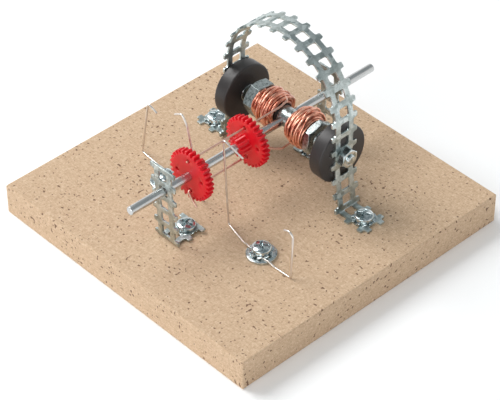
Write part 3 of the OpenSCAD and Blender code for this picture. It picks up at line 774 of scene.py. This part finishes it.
def commutator_wheel():
    """A toothed wheel with its flat face at z = 0 and its body and pinion above, as grids.

    Its faces are rings of 360 columns. Between two of them lie four grids, each from the rim of a small hole
    out to the edge of its quarter of the ring.
    """
    inner, outer, bore, chamfer = 3.2, 6.4, AXLE_D / 2, 0.12
    a = np.linspace(0, TAU, 361) - TAU / 8
    tooth = WHEEL_D / (WHEEL_TEETH + 2) * 2.1
    tips = toothed(a, WHEEL_D / 2, tooth, WHEEL_TEETH)
    pinion = toothed(a, PINION_D / 2, PINION_D / (PINION_TEETH + 2) * 1.7, PINION_TEETH)
    flat = 0 * a

    def rings(rows):
        return np.stack([np.stack([r * np.cos(a), r * np.sin(a), z + flat], -1) for r, z in rows])

    end = WHEEL_T + PINION_LEN
    grids = [
        rings([(outer + flat, 0), (tips - chamfer, 0), (tips, chamfer), (tips, WHEEL_T / 2),
               (tips, WHEEL_T - chamfer), (tips - chamfer, WHEEL_T), (outer + flat, WHEEL_T)]),
        rings([(inner + flat, WHEEL_T), (pinion + 0.1, WHEEL_T), (pinion, WHEEL_T + 0.1),
               (pinion, end - chamfer), (pinion - chamfer, end), (bore + flat, end), (bore + flat, 0),
               (inner + flat, 0)])]
    corner = math.pi / 4
    arc, along = np.linspace(-corner, corner, 91), np.linspace(outer, inner, 7)
    edge = np.concatenate([
        np.stack([outer * np.cos(arc), outer * np.sin(arc)], -1),
        np.stack([along * math.cos(corner), along * math.sin(corner)], -1)[1:],
        np.stack([inner * np.cos(arc), inner * np.sin(arc)], -1)[::-1][1:],
        np.stack([along * math.cos(corner), -along * math.sin(corner)], -1)[::-1][1:]])
    middle = np.array([WHEEL_HOLE_R, 0])
    spoke = unit(edge - middle)
    ease = 0.08
    hole, eased = WHEEL_HOLE_D / 2, WHEEL_HOLE_D / 2 + ease
    half_way = middle + (edge - middle) * 0.6
    rows = [(edge, 0), (half_way, 0), (middle + eased * spoke, 0), (middle + hole * spoke, ease),
            (middle + hole * spoke, WHEEL_T - ease), (middle + eased * spoke, WHEEL_T), (half_way, WHEEL_T),
            (edge, WHEEL_T)]
    quarter = np.stack([np.concatenate([p, np.full((len(p), 1), z)], -1) for p, z in rows])
    for k in range(4):
        c, s = (1, 0, -1, 0)[k], (0, 1, 0, -1)[k]
        x, y, z = np.moveaxis(quarter, -1, 0)
        grids.append(np.stack([c * x - s * y, s * x + c * y, z], -1))
    return grids


def make_wheels(red):
    """Both wheels, with their pinions towards each other."""
    t = math.radians(WHEEL_TURN)
    for name, y, direction in (("front", FRONT_WHEEL_Y, 1), ("rear", REAR_WHEEL_Y, -1)):
        grids = []
        for grid in commutator_wheel():
            x, z, depth = np.moveaxis(grid, -1, 0)
            turned = np.stack([math.cos(t) * x - math.sin(t) * z, y + direction * depth,
                               math.sin(t) * x + math.cos(t) * z], -1)
            grids.append(on_rotor(turned))
        node = name + "_commutator_wheel"
        solid(name + "_toothed_wheel", grids, "rotor", [node], red, sharp=50)


# ---- rotor: core and windings ----------------------------------------------------------------------

CORE_D, CORE_FLATS, HEAD_H, NUT_H = 6.0, 10.0, 3.8, 2.5
HEAD_AT, NUT_AT, CORE_END = 9.6, 10.8, 0.5
HEAD_TURN, NUT_TURN = math.radians(25), math.radians(48.5)
THREAD_PITCH, THREAD_DEPTH, THREAD_TURNS = 1.0, 0.35, 5
LEFT_WOUND, RIGHT_WOUND = (1.8, HEAD_AT), (2.7, NUT_AT)
WIRE_D = 0.75
TAPE_R = CORE_D / 2 + 0.3


def make_core(plated, tape):
    """The hexagon bolt with its nut, and the tape under the windings.

    The thread is a row of round grooves: the radius falls by half of THREAD_DEPTH (1 - cos(angle)).
    """
    r, end = CORE_D / 2, NUT_AT + NUT_H + CORE_END
    turn = np.arange(THREAD_TURNS * 8) / 8
    depth = THREAD_DEPTH * (0.5 - 0.5 * np.cos(TAU * turn))
    thread = list(zip(r - depth, end - 0.6 - THREAD_PITCH * turn))
    shank = [(0, end), (r - 0.8, end), (r - THREAD_DEPTH, end - 0.15)] + thread
    shank += [(r, end - 5.7), (r, -HEAD_AT), (0, -HEAD_AT)]
    at = np.array([0, CORE_Y, 0])

    def along_core(grid, x, side, turn):
        spoke = (0, math.sin(turn), -math.cos(turn))
        return on_rotor(put(grid, at + (x, 0, 0), side * X, spoke))

    head = along_core(hexagon(CORE_FLATS, HEAD_H), -HEAD_AT, -1, HEAD_TURN)
    solid("bolt", [head, along_core(lathe(shank, 64), 0, 1, 0)], "rotor", ["core_bolt"], plated,
          bevel=0.12, sharp=28)
    nut = along_core(hexagon(CORE_FLATS, NUT_H, CORE_D / 2 + 0.02, True), NUT_AT, 1, NUT_TURN)
    solid("nut", [nut], "rotor", ["core_nut"], plated, bevel=0.12, sharp=28)
    for name, side, (low, high) in (("left", -1, LEFT_WOUND), ("right", 1, RIGHT_WOUND)):
        high -= 0.02
        sleeve = [(r, low), (TAPE_R - 0.05, low), (TAPE_R, low + 0.06), (TAPE_R, high), (r, high), (r, low)]
        grid = along_core(lathe(sleeve, 64), 0, side, 0)
        solid(name + "_tape", [grid], "rotor", [name + "_core_tape"], tape)


COLUMNS = 48
TURN_PITCH = 1.16


def drift(t, amount, rng, terms=5):
    """A slow random wave along t: a sum of sines with random phase whose size falls with their speed."""
    speed = np.arange(1, terms + 1) * 0.13 * rng.uniform(0.8, 1.2, terms)
    phase = rng.uniform(0, TAU, terms)
    return amount * (np.sin(TAU * speed * t[:, None] + phase) / np.sqrt(np.arange(1, terms + 1))).sum(1) / 1.6


def wound(low, high, layers, taper, slant, rng):
    """Turns wound on the tape: the turns along the wire, the place along the core and the radius.

    Along the wire the place sweeps from end to end and back, one sweep a layer, with a slow tilt
    a cos(angle - b) that grows outwards. A layer begins slant (1 - cos(angle)) / 2 after the low end, and up
    to taper later as the winding fills. Turn by turn, the radius at each of COLUMNS angles is the least that
    clears the core and all the turns below: the most of r_j + sqrt(d^2 - gap^2) over the turns j whose gap is
    less than the wire's diameter d.
    """
    d = WIRE_D
    per_layer = (high - low - d) / (TURN_PITCH * d)
    turns = int(layers * per_layer)
    t = np.arange(turns * COLUMNS) / COLUMNS
    full = t / turns
    start = low + d / 2 + slant * (1 - np.cos(TAU * t)) / 2 + taper * full
    sweep = 1 - np.abs((t / per_layer) % 2 - 1)
    lean = drift(t, 0.6 * d, rng)
    grow = 0.3 + 1.2 * np.clip(full * 2 - 0.8, 0, 1)
    tilt = lean * np.cos(TAU * t - drift(t, 2.0, rng)) * grow
    place = start + (high - d / 2 - start) * sweep + tilt + drift(t * 3, 0.15 * d, rng)
    place = np.minimum(np.maximum(place, start), high - d / 2).reshape(turns, COLUMNS)
    r = np.full(place.shape, TAPE_R + d / 2)
    for k in range(1, turns):
        gap = place[k] - place[:k]
        lifted = r[:k] + np.sqrt(np.maximum(d * d - gap * gap, 0))
        r[k] = np.maximum(r[k], np.where(np.abs(gap) < 0.9 * d, lifted, 0).max(0))
    window = np.hanning(COLUMNS // 5 + 2)
    smooth = np.convolve(np.pad(r.ravel(), len(window), mode="edge"), window / window.sum(), mode="same")
    return t, place.ravel(), smooth[len(window):-len(window)]


# name, side, ends, layers, taper, slant, how far the outer turns are lifted, seed
WINDINGS = (
    ("left", -1, LEFT_WOUND, 3.1, 0.4, 0.3, 0.3, 14),
    ("right", 1, RIGHT_WOUND, 3.0, 1.2, 0.0, 0.8, 15))


def make_windings(copper):
    """Each winding is one wire, wound in layers over the tape, a little fuller on its upper side."""
    for name, side, (low, high), layers, taper, slant, lift, seed in WINDINGS:
        t, place, r = wound(low + 0.1, high - 0.05, layers, taper, slant, np.random.default_rng(seed))
        full = (r - TAPE_R) / (r.max() - TAPE_R)
        a = TAU * t
        line = np.stack([side * place, CORE_Y + r * np.sin(a), -side * r * np.cos(a) + lift * full], -1)
        grid = on_rotor(tube(line, WIRE_D, X, 10))
        nodes = [name + "_winding_core", name + "_winding_turns"]
        solid(name + "_winding", [grid], "rotor", nodes, copper, sharp=60)


def make_bars(bare):
    """The commutator's wires. Each comes from the front wheel, through the rear wheel and on to a winding.

    The lower one's front end is left long and bent down over the wheel's rim.
    """
    front, back = FRONT_WHEEL_Y - 0.5, REAR_WHEEL_Y + 1.0
    bent = FRONT_WHEEL_Y - 0.4 - COPPER_D / 2
    angle = math.radians(BAR_ANGLE)
    up = WHEEL_HOLE_R * np.array([math.cos(angle), 0, math.sin(angle)])
    routes = {
        "upper": [up + front * Y, up + back * Y, up + (CORE_Y - 2.6) * Y, (-0.9, CORE_Y + 0.4, 5.4),
                  (-3.3, CORE_Y + 1.9, 4.6)],
        "lower": [(4.1, bent, -8.6), (1.6, bent, -6.4), bent * Y - up, 5.2 * Y - up, (1.6, 6.6, -6.1),
                  (3.5, 9.3, -6.6), (3.7, CORE_Y - 2.0, -5.9)]}
    for name, route in routes.items():
        line = spaced(rounded(route, 0.65), 0.8)
        bar = on_rotor(tube(line, COPPER_D, X, 14))
        solid(name + "_bar", [bar], "rotor", [name + "_commutator_wire"], bare)


# ---- brushes ---------------------------------------------------------------------------------------

FLOOR = BRUSH_D / 2
ON_WASHER = PLAIN_T + BRUSH_D / 2
SHANK_SIDE = SCREW_D / 2 + BRUSH_D / 2 + 0.05
ON_EDGE, OFF_EDGE = 5.0, 6.4
BRUSH_X = WHEEL_HOLE_R + COPPER_D / 2 + 0.2 + BRUSH_D / 2
RIGHT_ROUTE = [
    (29.7, -15.4, 13), (31.7, -15.4, 13.8), (33.5, -15.6, 13), (35.1, -17.9, FLOOR),
    RIGHT_BRUSH_SPOT + (OFF_EDGE, -1.3, FLOOR), RIGHT_BRUSH_SPOT + (ON_EDGE, -1.5, ON_WASHER),
    RIGHT_BRUSH_SPOT + (0, -SHANK_SIDE, ON_WASHER), RIGHT_BRUSH_SPOT + (-ON_EDGE, -0.9, ON_WASHER),
    RIGHT_BRUSH_SPOT + (-OFF_EDGE, -0.5, FLOOR), (BRUSH_X + 1.1, -15, FLOOR), (BRUSH_X - 0.7, -15, 29.9),
    (BRUSH_X + 7.2, -15, 27.9)]
LEFT_ROUTE = [
    (-26.8, -11.5, 18.8), (-30.6, -11.5, 20.2), (-34, -11.5, FLOOR),
    LEFT_BRUSH_SPOT + (-OFF_EDGE, 3.3, FLOOR), LEFT_BRUSH_SPOT + (-ON_EDGE, 2.9, ON_WASHER),
    LEFT_BRUSH_SPOT + (0, SHANK_SIDE, ON_WASHER), LEFT_BRUSH_SPOT + (ON_EDGE, 1.9, ON_WASHER),
    LEFT_BRUSH_SPOT + (OFF_EDGE, 1.9, FLOOR), (-BRUSH_X - 0.2, -13.4, FLOOR), (0.2 - BRUSH_X, -16.4, 17),
    (-BRUSH_X - 2.4, -16.6, 28.3), (-BRUSH_X - 4.3, -16.6, 31), (-BRUSH_X - 7.3, -16.6, 29.2)]


def make_brushes(steel):
    """The two bent spring wires."""
    for name, route in (("right", RIGHT_ROUTE), ("left", LEFT_ROUTE)):
        line = spaced(rounded(route, 0.9, 8), 1.5) + (0, 0, BOARD_TOP)
        wire = tube(line, BRUSH_D, Y, 14)
        solid(name + "_spring_wire", [wire], "stand", [name + "_brush"], steel)


# ---- floor and light -------------------------------------------------------------------------------

WHITE = (1.0, 1.0, 1.0)
ROOM = ((0.0, WHITE), (0.32, WHITE), (0.58, (0.34, 0.37, 0.38)), (1.0, (0.30, 0.33, 0.35)))
FRONT = (0.30, 0.32, 0.33)
FLOOR_HALF = 3.0
# name, place in metres, width in metres, watts
LAMPS = (("left", (-0.68, -0.20, 0.85), 0.6, 9.5), ("front", (0.25, -1.0, 0.5), 0.8, 6.0))


def pale_floor(place):
    """Matt white."""
    return {"Base Color": WHITE, "Roughness": 0.9, "Specular IOR Level": 0.2}


def make_studio():
    """A pale floor, a room that is white low down behind and grey above and in front, and two soft lamps."""
    mesh = bpy.data.meshes.new("floor")
    corners = [(x * FLOOR_HALF, y * FLOOR_HALF, 0) for x, y in ((-1, -1), (1, -1), (1, 1), (-1, 1))]
    mesh.from_pydata(corners, [], [(0, 1, 2, 3)])
    floor = bpy.data.objects.new("floor", mesh)
    bpy.context.scene.collection.objects.link(floor)
    mesh.materials.append(finish("floor", pale_floor))
    world = bpy.data.worlds.new("room")
    world.use_nodes = True
    tree = world.node_tree
    towards = Socket(tree, tree.nodes.new("ShaderNodeTexCoord").outputs["Generated"])
    height = towards.node("ShaderNodeSeparateXYZ", {}, {0: towards}, 2)
    back = towards.node("ShaderNodeSeparateXYZ", {}, {0: towards}, 1)
    fill(tree.nodes["Background"].inputs["Color"], back.between(-0.5, 0.0).mix(FRONT, height.ramp(*ROOM)))
    fill(tree.nodes["Background"].inputs["Strength"], 1.0)
    bpy.context.scene.world = world
    for name, place, width, power in LAMPS:
        data = bpy.data.lights.new(name, "AREA")
        data.size = width
        data.energy = power
        lamp = bpy.data.objects.new(name, data)
        away = unit(np.array(place))
        side = unit(np.cross(Z, away))
        turn = Matrix([side, np.cross(away, side), away]).transposed().to_4x4()
        lamp.matrix_world = Matrix.Translation(place) @ turn
        bpy.context.scene.collection.objects.link(lamp)


def main():
    """Makes every piece."""
    make_camera()
    zinc = finish("bright_zinc", bright_zinc)
    make_board(finish("hardboard", hardboard))
    make_straps(finish("galvanised_sheet", galvanised))
    make_screws(zinc)
    make_magnets(finish("ferrite", ferrite), zinc)
    make_axle(finish("drawn_steel", drawn_steel))
    make_wheels(finish("red_plastic", red_plastic))
    make_core(finish("plated_steel", plated_steel), finish("dark_tape", dark_tape))
    make_windings(finish("enamelled_copper", enamelled_copper))
    make_bars(finish("bare_copper", bare_copper))
    make_brushes(finish("spring_wire", spring_wire))
    make_studio()
    bpy.context.scene.view_settings.view_transform = "Standard"


main()
